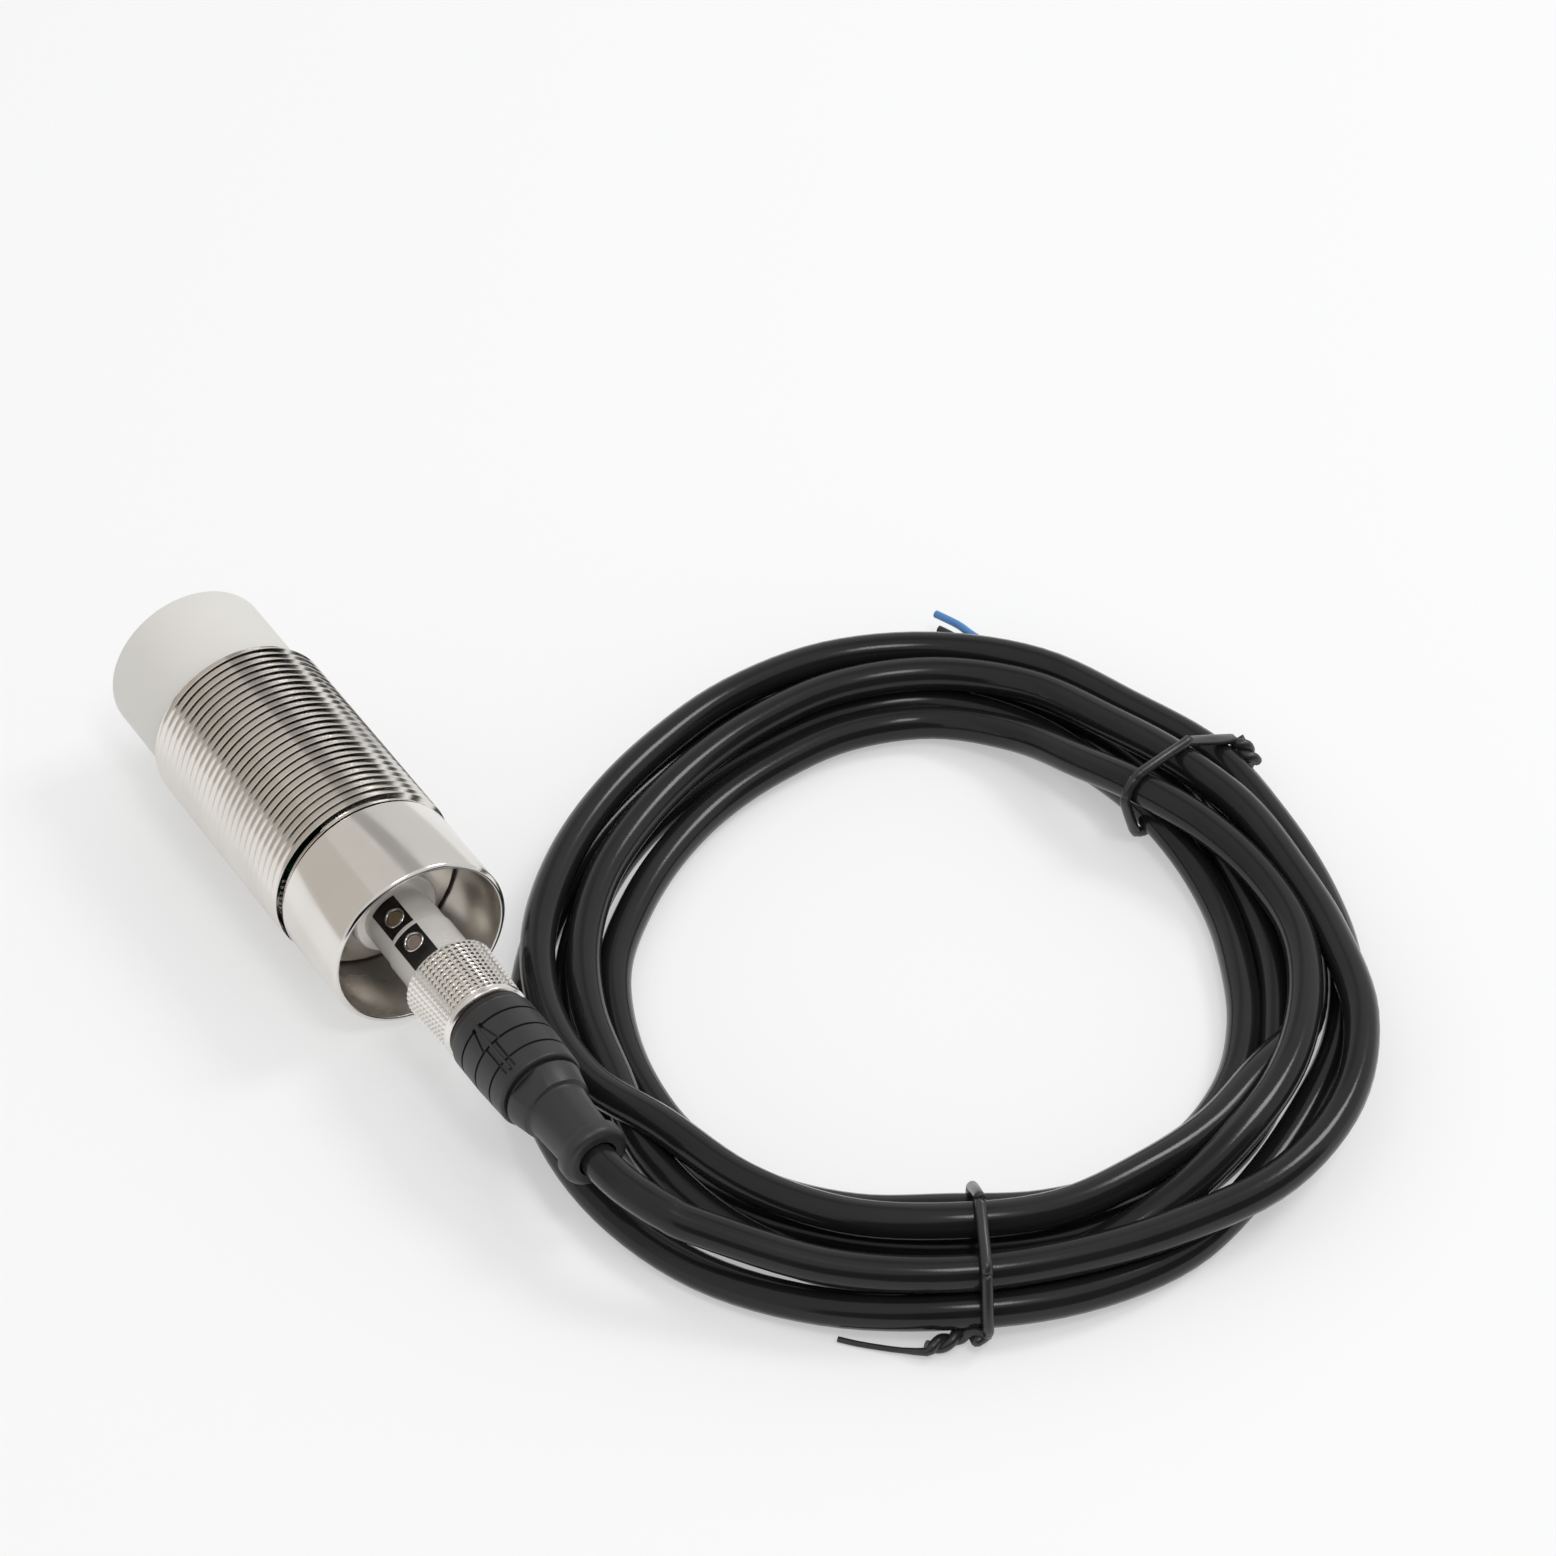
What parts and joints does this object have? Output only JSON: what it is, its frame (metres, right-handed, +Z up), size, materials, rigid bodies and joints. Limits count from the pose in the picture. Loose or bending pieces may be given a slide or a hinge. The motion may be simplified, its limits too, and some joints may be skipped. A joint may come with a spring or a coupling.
{
  "type": "capacitive proximity sensor",
  "caption": "Threaded cylindrical capacitive proximity sensor with a pale plastic sensing cap, rear status windows and a plug-in cable, coiled and tied.",
  "frame": {"origin": "on the surface that the sensor lies on, under the middle of the sensor without its cable and plug", "axes": "+X along the sensor from the sensing face to the connector, +Z up"},
  "size_m": [0.1817, 0.1499, 0.03],
  "materials": {
    "nickel_plate": "polished nickel plate on brass",
    "cap_plastic": "matt warm white plastic",
    "copper": "bare copper",
    "board_green": "green glass-fibre board",
    "carrier_plastic": "pale moulded plastic",
    "chip_black": "black moulded chip",
    "seal_rubber": "dark red rubber",
    "lens_olive": "dark olive tinted lens",
    "lens_brown": "brown-grey tinted lens",
    "light_yellow": "clear yellow",
    "light_green": "clear green",
    "contact_plastic": "black moulded insulator",
    "contact_gold": "gold-plated contacts",
    "plug_rubber": "matt dark grey moulded rubber",
    "cable_black": "satin black cable jacket",
    "tie_black": "black plastic-coated wire",
    "wire_blue": "blue wire insulation",
    "wire_brown": "brown wire insulation",
    "wire_black": "black wire insulation"
  },
  "bodies": {
    "sensor": {"sensing_cap": "cap_plastic", "sensing_plate": "copper", "guard_ring": "copper", "plate_carrier": "carrier_plastic", "circuit_board": "board_green", "oscillator_chip": "chip_black", "output_transistor": "chip_black", "barrel": "nickel_plate", "closing_disc": "nickel_plate", "body_seal": "seal_rubber", "connector_stem": "nickel_plate", "window_lens_front": "lens_olive", "window_lens_rear": "lens_brown", "light_front": "light_yellow", "light_rear": "light_green", "light_board": "board_green", "pin_carrier": "contact_plastic", "contact_pin_1": "contact_gold", "contact_pin_2": "contact_gold", "contact_pin_3": "contact_gold", "contact_pin_4": "contact_gold"},
    "plug": {"plug_body": "plug_rubber", "socket_carrier": "contact_plastic", "contact_socket_1": "contact_gold", "contact_socket_2": "contact_gold", "contact_socket_3": "contact_gold", "contact_socket_4": "contact_gold", "plug_seal": "seal_rubber", "cable_lead": "cable_black", "cable_coil": "cable_black", "twist_tie_lower": "tie_black", "twist_tie_upper": "tie_black", "wire_blue": "wire_blue", "wire_black": "wire_black", "wire_brown": "wire_brown"},
    "nut": {"coupling_nut": "nickel_plate"}
  },
  "joints": [
    {"name": "plug_slide", "type": "slide", "parent": "sensor", "child": "plug", "axis": [1, 0, 0], "range_m": [0, 0.0088]},
    {"name": "nut_turn", "type": "hinge", "parent": "plug", "child": "nut", "pos_m": [0.04, 0, 0.015], "axis": [1, 0, 0], "range_deg": [0, 3168.5]}
  ],
  "couplings": [
    {"joint": "nut_turn", "follows": "plug_slide", "rad_per_m": 6283.2}
  ]
}
